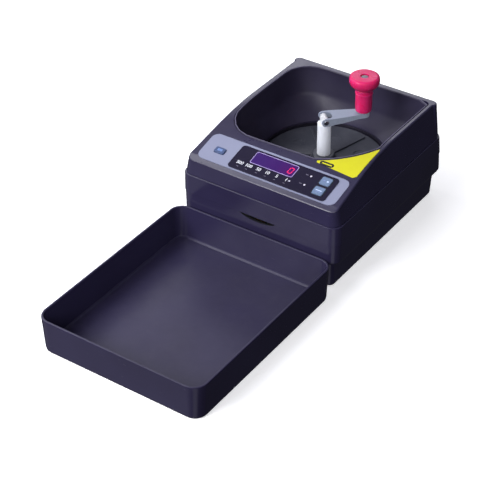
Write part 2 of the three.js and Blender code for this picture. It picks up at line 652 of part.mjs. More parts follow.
// straight-flanked gear outline; one tooth points at phaseDeg
function gearOutline(teeth, phaseDeg) {
  const pitchR = teeth * GEAR_MODULE / 2;
  const tipR = pitchR + GEAR_MODULE * 0.9;
  const rootR = pitchR - GEAR_MODULE * 1.15;
  const pitchWidth = Math.PI * GEAR_MODULE / 2 - 0.2; // thinned by 0.2 for play
  const rootHalf = (pitchWidth + GEAR_MODULE * 0.55) / rootR / 2;
  const tipHalf = (pitchWidth - GEAR_MODULE * 0.85) / tipR / 2;
  const outline = [];
  for (let i = 0; i < teeth; i++) {
    const middle = phaseDeg * DEG + i * 2 * Math.PI / teeth;
    outline.push([rootR, middle - rootHalf], [tipR, middle - tipHalf],
      [tipR, middle + tipHalf], [rootR, middle + rootHalf]);
  }
  return outline.map(([radius, angle]) => [radius * Math.cos(angle), radius * Math.sin(angle)]);
}
function addDriveGear(drive) {
  // a tooth of this gear points at the pinion
  const blank = union(prism(gearOutline(BIG_TEETH, MESH_ANGLE), GEAR_Z0, GEAR_Z1),
    rod(0, 0, 37.9, 44.1, 10, 20));
  put(drive, 'drive_gear', subtract(blank, rod(0, 0, 30, 50, 5.55, 24),
    ...spread(6, 0, () => rod(18.5, 0, 30, 50, 5, 12))), MATERIALS.natural);
}
function addShaftMounts(drive) {
  const clip = turned(0, 0, [[0, 36.75], [6.6, 36.75], [6.6, 37.55], [0, 37.55]], 24);
  put(drive, 'shaft_clip', subtract(clip, rod(0, 0, 30, 40, 3.28, 20),
    box(0, 9, -1.6, 1.6, 30, 40)), MATERIALS.steel);
  const boreR = POST_R + 0.06;
  put(machine, 'shaft_bush', turned(0, AXIS_Y, [
    [boreR, 44.6], [10.6, 44.6], [10.6, 46.3], [8.62, 46.3], [8.62, 49.3],
    [boreR, 49.3], [boreR, 44.6],
  ], 32), MATERIALS.bronze);
  put(machine, 'foot_bearing', turned(0, AXIS_Y, [
    [0, FLOOR_Z], [14, FLOOR_Z], [14, FLOOR_Z + 2], [8.5, FLOOR_Z + 4], [8, 33.6],
    [4.08, 33.6], [4.08, 27.6], [0, 27.6],
  ], 28), MATERIALS.natural);
}
// pinion with a slotted wheel, on a fixed spindle under the deck
function addEncoder() {
  const encoder = frame(machine, 'encoder_axis', [ENCODER_X, ENCODER_Y, 0]);
  // a gap of the pinion faces the drive gear
  const gapPhase = MESH_ANGLE - 180 + 180 / SMALL_TEETH;
  put(encoder, 'encoder_pinion', subtract(
    union(prism(gearOutline(SMALL_TEETH, gapPhase), GEAR_Z0, GEAR_Z1),
      rod(0, 0, 33, 45.6, 3.4, 16)),
    rod(0, 0, 20, 60, 1.58, 16)), MATERIALS.natural);
  put(encoder, 'encoder_wheel', subtract(
    turned(0, 0, [[0, 34], [14, 34], [14, 35], [0, 35]], 32),
    rod(0, 0, 20, 50, 3.44, 16),
    ...spread(8, 0, () => box(8.5, 12.5, -1.2, 1.2, 30, 40))), MATERIALS.black);
  put(machine, 'encoder_spindle', turned(ENCODER_X, ENCODER_Y,
    [[0, 31.2], [2.7, 31.2], [2.7, 32.4], [1.5, 32.4], [1.5, 48.8], [0, 48.8]], 18),
  MATERIALS.steel);
  put(machine, 'encoder_board', prism(roundRect(-54, -38, 132.5, 152.5, 1, 2), 29.85, 31.4),
    MATERIALS.board);
  put(machine, 'encoder_fork', subtract(box(-47, -37, 137.5, 147.5, 31.42, 38),
    box(-43.6, -30, 130, 155, 33.2, 35.9)), MATERIALS.black);
}

// --------------------------------------------------------------- batteries
function addBatteries() {
  const pitch = 15.2;
  const middleY = (BATTERY_DOOR.y0 + BATTERY_DOOR.y1) / 2;
  const axisZ = FLOOR_Z + 9;
  const places = [0, 1, 2, 3].map((i) => (i - 1.5) * pitch);
  put(machine, 'battery_holder', subtract(
    box(-32, 32, 21, 79, FLOOR_Z + 0.1, FLOOR_Z + 12),
    ...places.map((x) => lyingRod(x, middleY, axisZ, 7.5, 53)),
    box(-30, 30, 23.5, 76.5, axisZ, FLOOR_Z + 20)), MATERIALS.black);
  // columns: radius, distance along the cell, the contact nub last
  const profile = [
    [0, -25], [6.6, -25], [7.1, -24.4], [7.1, 23], [2.7, 23.8], [2.7, 25.2], [0, 25.2],
  ];
  places.forEach((x, i) => {
    const cell = lathe(profile, 14);
    if (i % 2 === 0) cell.rotateX(Math.PI); // neighbours point opposite ways
    put(machine, `battery_${i + 1}`, cell.translate(x, middleY, axisZ), MATERIALS.battery);
  });
}

// --------------------------------------------------------------- crank arm
// built along +X from the pin; the arm frame turns it to its rest direction
const ARM_LEN = 38;            // pin to knob
const ARM_TOP = 102.2;
const ARM_T = 1.1;
const WEB_Z = ARM_TOP - ARM_T; // underside of the web
const ARM_PIN_HALF = 8.4;      // half width at the pin
const ARM_KNOB_HALF = 5.6;     // half width at the knob

function armOutline(inset, startX) {
  const pinHalf = ARM_PIN_HALF - inset;
  const knobHalf = ARM_KNOB_HALF - inset;
  return [
    [startX, -pinHalf], [7, -pinHalf], [ARM_LEN - 1, -knobHalf],
    ...arc([ARM_LEN, 0], [knobHalf + 0.3, knobHalf], [-75, 75], 10),
    [ARM_LEN - 1, knobHalf], [7, pinHalf], [startX, pinHalf],
  ];
}
function addCrankArm(armFrame) {
  const channel = subtract(prism(armOutline(0, -12), 90, ARM_TOP),
    prism(armOutline(ARM_T, -13), 89, WEB_Z));
  // side view [x, z]: flanges round about the pin, shallower towards the knob
  const sideView = [
    [60, ARM_TOP + 2], [-0.6, ARM_TOP + 2], [-0.6, ARM_TOP], [-2.6, ARM_TOP - 0.9],
    ...arc([0, PIN_Z], [4.2, 4.4], [144, 252], 6),
    [4.5, PIN_Z - 3.9], [9, 95.6], [16, 95.8], [ARM_LEN - 6, 97.8], [60, 97.8],
  ];
  // a round-ended slot [x, y] in the web lets the arm swing right over the post
  const webSlot = [
    [-20, 5.9], [-20, -5.9], [4.4, -5.9], [6.3, -4.4], [7.1, -2.2],
    [7.1, 2.2], [6.3, 4.4], [4.4, 5.9],
  ];
  const innerHalf = ARM_PIN_HALF - ARM_T;
  put(armFrame, 'crank_arm', subtract(intersect(channel, barAlongY(sideView, -15, 15)),
    prism(webSlot, WEB_Z - 1, ARM_TOP + 3),
    box(-20, -0.6, -innerHalf, innerHalf, WEB_Z - 1, ARM_TOP + 3),
    lyingRod(0, 0, PIN_Z, PIN_HOLE_R, 40),
    rod(ARM_LEN, 0, 90, 110, 2.06, 16)), MATERIALS.steel);
}
function addHingePin(armFrame) {
  const profile = [
    [0, -9.2], [1.8, -9.2], [2.4, -8.9], [2.4, -8.45], [1.5, -8.45],
    [1.5, 8.45], [2.4, 8.45], [2.4, 8.9], [1.8, 9.2], [0, 9.2],
  ];
  put(armFrame, 'hinge_pin', lathe(profile, 20).translate(0, 0, PIN_Z), MATERIALS.steel);
}
// the spindle is riveted in the arm and the knob turns on it
function addKnob(armFrame) {
  put(armFrame, 'knob_spindle', turned(ARM_LEN, 0, [
    [0, WEB_Z - 1.1], [3.4, WEB_Z - 1.1], [3.4, WEB_Z - 0.02], [2, WEB_Z - 0.02],
    [2, ARM_TOP + 0.02], [3, ARM_TOP + 0.02], [3, ARM_TOP + 1], [2.4, ARM_TOP + 1],
    [2.4, 138.7], [3.9, 138.7], [3.9, 139.9], [3.2, 140.4], [0, 140.5],
  ], 20), MATERIALS.steel);
  const bottom = ARM_TOP + 1.1;
  const top = bottom + 38.2;
  // columns: radius, depth below the knob's top
  const upperPart = [
    [8.1, 19], [8.6, 18.6], [8.6, 17.9], [8.1, 17.5], [8.1, 15.2], [8.6, 14.8], [8.6, 14.2],
    [8.3, 13.8], [10.4, 12.2], [12.6, 9.9], [14, 7.9], [14.6, 6], [14.7, 3.6], [14.5, 2],
    [13.9, 0.9], [12.9, 0.25], [11.4, 0], [4.2, 0.2],
  ];
  put(armFrame, 'crank_knob', turned(ARM_LEN, 0, [
    [2.5, bottom], [6.6, bottom], [7.6, bottom + 0.9], [8, bottom + 3], [8.1, bottom + 9],
    ...upperPart.map(([radius, depth]) => [radius, top - depth]),
    [4.2, 138.6], [2.5, 138.6], [2.5, bottom],
  ], 30), MATERIALS.pink);
}

// -------------------------------------------------------------- catch tray
function addTray() {
  const height = 36.5;
  const wall = 2.2;
  const draft = 1.4;           // inset of the wall near the table
  const plan = planRing(87.5, -TRAY_GAP - TRAY_LEN, -TRAY_GAP, 13.6);
  // columns: inset, z; up the outside, over the rim, down the inside
  const rings = [
    [draft + 2.6, 0], [draft + 1.2, 0.35], [draft + 0.35, 1.2], [draft, 2.6],
    [0.15, height - 3], [0, height - 1], [0.25, height - 0.3], [0.8, height],
    [wall - 0.7, height], [wall - 0.15, height - 0.35], [wall + 0.05, height - 1.1],
    [wall + draft, 5.4], [wall + draft + 0.8, 3.4], [wall + draft + 2.6, 2.3],
  ];
  const tray = frame(machine, 'tray_frame');
  put(tray, 'catch_tray', ringSkin(rings.map(([inset, z]) => insetRing(plan, inset, z))),
    MATERIALS.housing);
}

// ---------------------------------------------------------------- assembly
addLowerHousing();
addFeet();
addCaseScrews();
addTopCover();
addPanelFace();
KEYS.forEach(addKey);
addLamps();
addMainBoard();
addCornerLabel();
addHopperBowl();
addDeck();
addChute();
addCoinGate();
addSensorRibbon();

const drive = frame(machine, 'crank_axis', [0, AXIS_Y, 0]);
addCoinDisc(drive);
addCrankPost(drive);
addDriveGear(drive);
addShaftMounts(drive);
addEncoder();
addBatteries();

const armFrame = frame(machine, 'arm_frame', [0, AXIS_Y, 0]);
armFrame.rotation.z = ARM_ANGLE;
addCrankArm(armFrame);
addHingePin(armFrame);
addKnob(armFrame);
addTray();

// the origin sits under the middle of the footprint of machine and tray
machine.position.y = (TRAY_GAP + TRAY_LEN - (BODY_DEPTH + REAR_FLARE - FLARE_INSET)) / 2;

export default group;
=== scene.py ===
"""A hand-cranked coin counter: hopper bowl, catch tray and a sloping panel with display and keys.

Metres, +Z up.
"""
import json
import math

import bmesh
import bpy
from mathutils import Matrix, Vector


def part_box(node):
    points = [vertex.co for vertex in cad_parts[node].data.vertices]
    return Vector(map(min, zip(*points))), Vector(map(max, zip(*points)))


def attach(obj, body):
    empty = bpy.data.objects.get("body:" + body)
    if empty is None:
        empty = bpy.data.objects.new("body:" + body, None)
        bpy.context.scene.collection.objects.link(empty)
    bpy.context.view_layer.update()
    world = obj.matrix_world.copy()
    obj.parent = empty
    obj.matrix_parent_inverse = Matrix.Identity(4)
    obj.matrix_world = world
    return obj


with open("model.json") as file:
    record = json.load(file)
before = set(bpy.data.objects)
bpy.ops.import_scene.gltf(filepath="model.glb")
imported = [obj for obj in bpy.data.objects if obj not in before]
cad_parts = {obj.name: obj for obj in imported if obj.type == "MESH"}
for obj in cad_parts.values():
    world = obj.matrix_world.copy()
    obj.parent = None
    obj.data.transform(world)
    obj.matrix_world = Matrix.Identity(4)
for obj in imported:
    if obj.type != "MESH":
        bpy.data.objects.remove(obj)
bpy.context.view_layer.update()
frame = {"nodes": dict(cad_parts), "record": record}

MM = 0.001
NODES = frame["nodes"]
scene = bpy.context.scene


# ---------------------------------------------------------------- shader tools
def srgb(*channels):
    """Linear RGBA from 0-255 sRGB channels."""
    def linear(c):
        return c / 12.92 if c <= 0.04045 else ((c + 0.055) / 1.055) ** 2.4
    return tuple(linear(c / 255) for c in channels) + (1.0,)


def shade(colour, factor, offset=0.0):
    return tuple(min(1.0, c * factor + offset) for c in colour[:3]) + (1.0,)


def feed(tree, node, inputs):
    """Fill a node's inputs, linking sockets and storing constants."""
    for key, value in inputs.items():
        if isinstance(value, bpy.types.NodeSocket):
            tree.links.new(value, node.inputs[key])
        else:
            node.inputs[key].default_value = value


def add_node(tree, kind, inputs=None, **settings):
    node = tree.nodes.new("ShaderNode" + kind)
    for key, value in settings.items():
        setattr(node, key, value)
    feed(tree, node, inputs or {})
    return node


class Mat:
    """A small node-tree writer around one Principled shader."""

    def __init__(self, name):
        self.material = bpy.data.materials.new(name)
        self.material.use_nodes = True
        self.tree = self.material.node_tree
        self.tree.nodes.clear()
        output = self.add("OutputMaterial")
        self.shader = self.add("BsdfPrincipled")
        feed(self.tree, output, {"Surface": self.shader.outputs[0]})
        self.coord = self.add("TexCoord").outputs["Object"]

    def add(self, kind, inputs=None, **settings):
        return add_node(self.tree, kind, inputs, **settings)

    def set(self, **inputs):
        """Set shader inputs; underscores stand for the spaces in their names."""
        feed(self.tree, self.shader, {k.replace("_", " "): v for k, v in inputs.items()})

    def mapping(self, scale, rotation=(0, 0, 0)):
        inputs = {"Scale": scale, "Rotation": rotation, "Vector": self.coord}
        return self.add("Mapping", inputs).outputs[0]

    def noise(self, scale, detail, rough, vector=None, distortion=0.0):
        return self.add("TexNoise", {
            "Scale": scale, "Detail": detail, "Roughness": rough,
            "Distortion": distortion, "Vector": vector or self.coord}).outputs["Fac"]

    def remap(self, value, low, high, to=(0.0, 1.0)):
        """Map low..high onto the range `to`."""
        return self.add("MapRange", {
            "From Min": low, "From Max": high,
            "To Min": to[0], "To Max": to[1], "Value": value}).outputs["Result"]

    def patches(self, scale, detail, rough, low=0.3, high=0.7, to=(0.0, 1.0), vector=None):
        """Noise whose low..high band is mapped onto the range `to`."""
        return self.remap(self.noise(scale, detail, rough, vector), low, high, to)

    def math(self, operation, a, b, clamp=False):
        return self.add("Math", {0: a, 1: b}, operation=operation, use_clamp=clamp).outputs[0]

    def mix(self, factor, a, b):
        # inputs 6 and 7 and output 2 are the mix node's colour sockets
        return self.add("Mix", {"Factor": factor, 6: a, 7: b}, data_type="RGBA").outputs[2]

    def axis(self, vector, letter):
        return self.add("SeparateXYZ", {0: vector}).outputs[letter]

    def up(self):
        """The Z part of the surface normal."""
        return self.axis(self.add("NewGeometry").outputs["Normal"], "Z")

    def bump(self, height, strength, distance):
        inputs = {"Strength": strength, "Distance": distance, "Height": height}
        return self.add("Bump", inputs).outputs[0]


# ------------------------------------------------------------------- materials
def moulded(name, base, dark, rough=(0.24, 0.36), grain=0.06, scuff=0.35, spec=0.4, dust=0.0,
            walls=None, painted_top_highlight=None, **inputs):
    """Moulded plastic: faint colour drift, fine grain, smudged sheen and hair scratches.

    rough and walls are roughness ranges of the tops and of the upright walls, the optional rim
    colour is a painted highlight on upward-facing rims and tops, and inputs go straight to the
    shader.
    """
    m = Mat(name)
    colour = m.mix(m.patches(scale=14, detail=3, rough=0.5), base, dark)
    fine = m.noise(scale=900, detail=3, rough=0.6)
    smudge = m.noise(scale=38, detail=5, rough=0.62, distortion=0.6)
    streaks = m.mapping(scale=(1, 26, 26), rotation=(0.3, 0.5, 0.9))
    hair = m.patches(scale=60, detail=2, rough=0.5, low=0.70, high=0.74, vector=streaks)
    scratched = shade(base, factor=1.5, offset=0.012)
    colour = m.mix(m.math("MULTIPLY", hair, 0.25 * scuff), colour, scratched)
    # painted highlight: faces that point up take the lighter rim colour
    if painted_top_highlight:
        colour = m.mix(m.remap(m.up(), low=0.86, high=0.97), colour, painted_top_highlight)
    if dust:
        specks = m.patches(scale=120, detail=6, rough=0.7, low=0.45, high=0.75, to=(0.0, dust))
        settled = m.math("MULTIPLY", m.remap(m.up(), low=0.6, high=1.0), specks)
        colour = m.mix(settled, colour, (0.30, 0.29, 0.33, 1))
    roughness = m.remap(smudge, low=0.3, high=0.7, to=rough)
    if walls:                      # polished walls under satin tops
        polish = m.remap(smudge, low=0.3, high=0.7, to=walls)
        extra = m.math("SUBTRACT", roughness, polish)
        facing_up = m.remap(m.up(), low=0.06, high=0.4)
        roughness = m.math("ADD", polish, m.math("MULTIPLY", extra, facing_up))
    relief = m.math("ADD", m.math("MULTIPLY", fine, 0.7), m.math("MULTIPLY", hair, -0.4))
    m.set(Base_Color=colour,
          Roughness=m.math("ADD", roughness, m.math("MULTIPLY", hair, 0.12), clamp=True),
          IOR=1.5, Specular_IOR_Level=spec, Coat_Roughness=0.12,
          Normal=m.bump(relief, strength=grain, distance=0.0001), **inputs)
    return m.material


def metal(name, base, rough=(0.22, 0.38), stretch=(1, 40, 40), turn=(0, 0, 0), grain=0.12,
          stain=0.25, metallic=1.0, **inputs):
    """Sheet or turned metal: brushed streaks and soft stains."""
    m = Mat(name)
    brush = m.noise(scale=90, detail=3, rough=0.6, vector=m.mapping(stretch, turn))
    cloud = m.noise(scale=55, detail=4, rough=0.6)
    colour = m.mix(m.remap(brush, low=0.3, high=0.7), shade(base, 0.72), shade(base, 1.12))
    stained = m.math("MULTIPLY", m.remap(cloud, low=0.5, high=0.8), stain)
    wear = m.math("ADD", m.math("MULTIPLY", brush, 0.6), m.math("MULTIPLY", cloud, 0.4))
    m.set(Base_Color=m.mix(stained, colour, shade(base, 0.6)),
          Roughness=m.remap(wear, low=0.35, high=0.65, to=rough), Metallic=metallic,
          Normal=m.bump(brush, strength=grain, distance=0.00008), **inputs)
    return m.material


def knob_material():
    m = Mat("knob_plastic")
    colour = m.mix(m.patches(scale=40, detail=3, rough=0.5), srgb(216, 42, 108), srgb(206, 36, 100))
    hair = m.patches(scale=80, detail=2, rough=0.5, low=0.7, high=0.76,
                     vector=m.mapping(scale=(20, 20, 1)))
    m.set(Base_Color=m.mix(m.math("MULTIPLY", hair, 0.12), colour, srgb(250, 130, 165)),
          Roughness=m.patches(scale=90, detail=5, rough=0.6, to=(0.24, 0.38)),
          Specular_IOR_Level=0.22, Subsurface_Weight=0.55, Subsurface_Scale=0.009,
          Subsurface_Radius=(1.0, 0.3, 0.4),
          Normal=m.bump(m.noise(scale=1100, detail=3, rough=0.6), strength=0.05, distance=0.0001))
    return m.material


def label_material():
    m = Mat("label_film")
    colour = m.mix(m.patches(scale=30, detail=4, rough=0.6), srgb(211, 208, 24), srgb(201, 195, 21))
    specks = m.patches(scale=400, detail=4, rough=0.7, low=0.62, high=0.8)
    m.set(Base_Color=m.mix(m.math("MULTIPLY", specks, 0.25), colour, srgb(200, 190, 60)),
          Roughness=m.patches(scale=60, detail=4, rough=0.6, to=(0.34, 0.5)),
          Specular_IOR_Level=0.4,
          Normal=m.bump(m.noise(scale=160, detail=3, rough=0.5), strength=0.06, distance=0.0002))
    return m.material


def window_material():
    """Faintly lit film, shading from blue-violet at the left to purple at the right."""
    m = Mat("window_film")
    across = m.remap(m.axis(m.coord, "X"), low=-0.022, high=0.022)
    colour = m.mix(across, srgb(55, 30, 100), srgb(62, 17, 84))
    colour = m.mix(m.patches(scale=60, detail=3, rough=0.5), colour, srgb(48, 23, 87))
    m.set(Base_Color=colour, Emission_Color=colour, Emission_Strength=0.28,
          Specular_IOR_Level=0.5,
          Roughness=m.patches(scale=90, detail=4, rough=0.6, to=(0.1, 0.2)))
    return m.material


def glow(name, colour, strength):
    m = Mat(name)
    mottle = m.patches(scale=500, detail=2, rough=0.5, low=0.2, high=0.8)
    mottled = m.mix(mottle, colour, shade(colour, 0.8))
    m.set(Base_Color=mottled, Emission_Color=mottled, Emission_Strength=strength, Roughness=0.3)
    return m.material


def ink(name, colour, rough=0.45):
    m = Mat(name)
    mottle = m.patches(scale=700, detail=4, rough=0.7, low=0.35, high=0.65)
    m.set(Base_Color=m.mix(mottle, colour, shade(colour, 0.82)),
          Roughness=m.patches(scale=300, detail=3, rough=0.6, to=(rough - 0.06, rough + 0.08)))
    return m.material


def board_material():
    m = Mat("board_laminate")
    cells = m.add("TexVoronoi", {"Scale": 260, "Vector": m.mapping(scale=(1, 1, 0.01))})
    spots = m.remap(cells.outputs["Distance"], low=0.25, high=0.3)
    m.set(Base_Color=m.mix(spots, srgb(26, 92, 52), srgb(18, 66, 40)),
          Roughness=0.38, Specular_IOR_Level=0.5)
    return m.material


def cell_material():
    """Battery jacket: a copper band at the -Y end, dark beyond it."""
    m = Mat("cell_jacket")
    along = m.remap(m.axis(m.coord, "Y"), low=0.034, high=0.084)
    ramp = m.add("ValToRGB", {"Fac": along})
    ramp.color_ramp.interpolation = "CONSTANT"
    stops = ((0.0, srgb(176, 120, 62)), (0.22, srgb(40, 52, 60)))
    for element, (position, colour) in zip(ramp.color_ramp.elements, stops):
        element.position = position
        element.color = colour
    haze = m.math("MULTIPLY", m.noise(scale=200, detail=4, rough=0.6), 0.3)
    m.set(Base_Color=m.mix(haze, ramp.outputs["Color"], srgb(70, 78, 84)),
          Roughness=m.patches(scale=80, detail=3, rough=0.6, to=(0.25, 0.4)), Metallic=0.3)
    return m.material


INDIGO = srgb(46, 42, 70)
INDIGO_DARK = srgb(40, 36, 61)
MATS = {
    "housing": moulded("housing_plastic", INDIGO, INDIGO_DARK, rough=(0.26, 0.38), grain=0.05,
                       spec=0.45, dust=0.012, walls=(0.10, 0.18), Coat_Weight=0.25),
    "tray": moulded("tray_plastic", INDIGO, INDIGO_DARK, rough=(0.36, 0.48), grain=0.04,
                    scuff=0.7, spec=0.45, dust=0.02, walls=(0.12, 0.2)),
    # the bowl's upward-facing rims carry a lighter painted highlight
    "bowl": moulded("bowl_plastic", srgb(47, 43, 66), srgb(37, 33, 52), rough=(0.44, 0.58),
                    grain=0.04, scuff=0.8, spec=0.35, dust=0.03, painted_top_highlight=srgb(96, 92, 116)),
    "inlay": moulded("inlay_film", srgb(137, 141, 166), srgb(129, 133, 160),
                     rough=(0.34, 0.44), grain=0.05, scuff=0.4, spec=0.5),
    "black": moulded("display_film", srgb(33, 29, 50), srgb(27, 24, 42),
                     rough=(0.12, 0.2), grain=0.01, scuff=0.4, spec=0.5),
    "key": moulded("key_plastic", srgb(113, 132, 163), srgb(104, 123, 154),
                   rough=(0.2, 0.3), grain=0.05, scuff=0.3, spec=0.5),
    "power": moulded("power_plastic", srgb(72, 88, 126), srgb(64, 80, 116),
                     rough=(0.25, 0.35), grain=0.05, scuff=0.3, spec=0.5),
    # translucent, with a little emission for light thrown back by bright surroundings
    "white": moulded("post_plastic", srgb(218, 221, 228), srgb(210, 213, 222),
                     rough=(0.22, 0.34), grain=0.05, scuff=0.3, spec=0.5,
                     Subsurface_Radius=(1.0, 1.0, 1.0), Subsurface_Scale=0.012,
                     Subsurface_Weight=1.0,
                     Emission_Color=(0.95, 0.97, 1.0, 1), Emission_Strength=0.13),
    "disc": moulded("disc_plastic", srgb(70, 72, 81), srgb(58, 60, 69), rough=(0.30, 0.46),
                    grain=0.1, scuff=1.6, spec=0.4, dust=0.08),
    "deck": moulded("deck_plastic", srgb(33, 31, 43), srgb(26, 24, 34), rough=(0.3, 0.45),
                    grain=0.1, scuff=0.8, spec=0.4),
    "natural": moulded("acetal_natural", srgb(206, 203, 190), srgb(192, 188, 174),
                       rough=(0.34, 0.46), grain=0.08, scuff=0.3),
    "matt": moulded("matt_black", srgb(32, 32, 35), srgb(24, 24, 27), rough=(0.5, 0.65),
                    grain=0.2, scuff=0.3, spec=0.3),
    "rubber": moulded("foot_rubber", srgb(30, 30, 31), srgb(22, 22, 23), rough=(0.75, 0.9),
                      grain=0.4, scuff=0.2, spec=0.2, dust=0.2),
    "grey": moulded("grey_plastic", srgb(120, 122, 128), srgb(104, 106, 112),
                    rough=(0.4, 0.5), grain=0.1),
    "steel": metal("plated_steel", srgb(196, 199, 206)),
    "pin": metal("pin_steel", srgb(132, 128, 134), rough=(0.3, 0.45)),
    # the arm's emission is painted light, a glow standing in for bounce light on its shaded side
    "arm": metal("arm_sheet", srgb(118, 127, 150), rough=(0.34, 0.5), stretch=(30, 30, 3),
                 turn=(0, 0, 0.785), grain=0.08, stain=0.15, metallic=0.14,
                 Emission_Color=(0.5, 0.54, 0.6, 1), Emission_Strength=0.17),
    "brass": metal("bush_brass", srgb(190, 150, 84)),
    "knob": knob_material(),
    "label": label_material(),
    "window": window_material(),
    "lamp": glow("lamp_lens", srgb(206, 200, 218), strength=0.35),
    "digit": glow("digit_lit", srgb(206, 24, 92), strength=0.8),
    "ink_light": ink("ink_light", srgb(206, 204, 222)),
    "ink_grey": ink("ink_grey", srgb(96, 92, 112)),
    "ink_frame": ink("ink_frame", srgb(176, 156, 218)),
    "ink_bezel": ink("ink_bezel", srgb(28, 26, 40), rough=0.3),
    "ink_key": ink("ink_key", srgb(118, 134, 180)),
    "ink_glint": ink("ink_glint", srgb(196, 214, 246)),
    "ink_power": ink("ink_power", srgb(112, 138, 192)),
    "ink_white": ink("ink_white", srgb(236, 238, 246)),
    "ink_black": ink("ink_black", srgb(18, 18, 16)),
    "ink_rim": ink("ink_rim", srgb(246, 243, 150)),
    "board": board_material(),
    "cell": cell_material(),
}

# ------------------------------------------------------------------- CAD nodes
NODE_MAT = {
    "lower_housing": "housing", "top_cover": "housing", "battery_cover": "housing",
    "catch_tray": "tray", "hopper_bowl": "bowl", "panel_inlay": "inlay",
    "display_panel": "black", "display_window": "window", "display_module": "grey",
    "count_key": "key", "clear_key": "key", "power_key": "power",
    "upper_lamp": "lamp", "lower_lamp": "lamp", "main_board": "board",
    "encoder_board": "board", "corner_label": "label", "crank_post": "white",
    "crank_knob": "knob", "disc_deck": "deck", "drive_gear": "natural",
    "encoder_pinion": "natural", "foot_bearing": "natural", "coin_disc": "disc",
    "coin_sensor": "matt", "battery_holder": "matt", "encoder_fork": "matt",
    "encoder_wheel": "matt", "sensor_ribbon": "grey", "shaft_bush": "brass",
    # the outlet chute's matt black is painted shade that darkens the outlet slot
    "outlet_chute": "matt", "coin_gate": "steel", "crank_arm": "arm", "knob_spindle": "pin",
}

# bevel width in mm for the nodes whose edges are close to the eye
BEVEL = {
    "crank_arm": 0.28, "hinge_pin": 0.12, "crank_post": 0.35, "panel_inlay": 0.12,
    "display_panel": 0.14, "display_window": 0.12, "count_key": 0.3, "clear_key": 0.3,
    "power_key": 0.3, "coin_disc": 0.3, "coin_gate": 0.15, "lower_housing": 0.25,
    "top_cover": 0.3, "outlet_chute": 0.15, "knob_spindle": 0.2, "battery_cover": 0.2,
}


def node_material(name):
    if name in NODE_MAT:
        return MATS[NODE_MAT[name]]
    if name.startswith("foot_"):
        return MATS["rubber"]
    if name.startswith("battery_"):
        return MATS["cell"]
    return MATS["matt" if name.endswith("_switch") else "steel"]


def paint_outlet_shade(housing):
    """Paint the cheeks of the outlet slot matt black, like the chute behind it: painted shade that
    makes the slot read as a dark opening.
    """
    openings = frame["record"]["physics"]["openings"]
    low, high = next(o["box_m"] for o in openings if o["name"] == "coin_outlet")
    middle = (low[0] + high[0]) / 2
    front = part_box("lower_housing")[0][1]
    housing.data.materials.append(MATS["matt"])
    for polygon in housing.data.polygons:
        centre = housing.matrix_world @ polygon.center
        across = abs(centre.x - middle) < 0.0203
        level = low[2] - 0.0012 < centre.z < high[2] + 0.0006
        depth = 0.0004 < centre.y - front < 0.006
        if across and level and depth and abs(polygon.normal.y) < 0.6:
            polygon.material_index = 1


def add_modifier(node, name, kind, **settings):
    modifier = node.modifiers.new(name, kind)
    for key, value in settings.items():
        setattr(modifier, key, value)


def finish_edges(name, node):
    for polygon in node.data.polygons:
        polygon.use_smooth = True
    add_modifier(node, "weld", "WELD", merge_threshold=2e-6)
    if name in BEVEL:
        add_modifier(node, "flat", "DECIMATE", decimate_type="DISSOLVE",
                     angle_limit=math.radians(0.4))
        add_modifier(node, "bevel", "BEVEL", width=BEVEL[name] * MM, segments=2,
                     limit_method="ANGLE", angle_limit=math.radians(38),
                     use_clamp_overlap=True, harden_normals=False)
    add_modifier(node, "split", "EDGE_SPLIT", split_angle=math.radians(34), use_edge_sharp=False)
    add_modifier(node, "normals", "WEIGHTED_NORMAL", keep_sharp=True, weight=60)


for name, node in NODES.items():
    node.data.materials.clear()
    node.data.materials.append(node_material(name))
    if name == "lower_housing":
        # painted shade: the cheeks of the outlet slot turn matt black
        paint_outlet_shade(node)
    finish_edges(name, node)

# --------------------------------------------------------------- sloping panel
# Panel places are in mm: u across, v up the slope towards the rear, w off the surface.
FRONT_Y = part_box("lower_housing")[0][1]
PANEL_ORIGIN = Vector((0, FRONT_Y, 0.0848))
TILT = math.atan(0.247)
PANEL_U = Vector((1, 0, 0))
PANEL_V = Vector((0, math.cos(TILT), math.sin(TILT)))
PANEL_W = Vector((0, -math.sin(TILT), math.cos(TILT)))

PRINT_BASE = 0.722                 # underside of the plates on the display panel
WINDOW_CENTRE = (-0.1, 31.4)
WINDOW_HALF = (22.5, 6.8)
FIGURE_V, FIGURE_SIZE = 19.6, 5.3
FIGURES = (("500", -30.9), ("100", -21.1), ("50", -10.2), ("10", -0.4), ("5", 10.0), ("1", 20.4))
LAMP_U, LAMP_MARK_U = 38.8, 34.4
KEY_U = 54.8
KEY_HALF = (5.4, 4.8)
# key, its centre v, and per mark: centre u and v off the key's centre, half sizes, corner radius
KEYS = (
    ("count_key", 33.2, ((-1.8, 0.2, 1.1, 0.8, 0.5), (2.0, -0.1, 1.1, 0.9, 0.6))),
    ("clear_key", 20.4, ((0.0, -1.5, 3.2, 0.4, 0.3), (0.0, 0.1, 3.2, 0.5, 0.4))),
)


def on_panel(u, v, w):
    return PANEL_ORIGIN + PANEL_U * (u * MM) + PANEL_V * (v * MM) + PANEL_W * (w * MM)


def top_of(node):
    """Height w of a node's highest vertex off the panel."""
    body = NODES[node]
    return max((body.matrix_world @ vertex.co - PANEL_ORIGIN).dot(PANEL_W)
               for vertex in body.data.vertices) / MM


def rounded_rect(u, v, half_u, half_v, radius, segments=8):
    """Outline about the centre (u, v), with `segments` steps to each corner."""
    points = []
    for side_u, side_v, start in ((1, -1, -90), (1, 1, 0), (-1, 1, 90), (-1, -1, 180)):
        for i in range(segments + 1):
            angle = math.radians(start + 90 * i / segments)
            points.append((u + side_u * (half_u - radius) + radius * math.cos(angle),
                           v + side_v * (half_v - radius) + radius * math.sin(angle)))
    return points


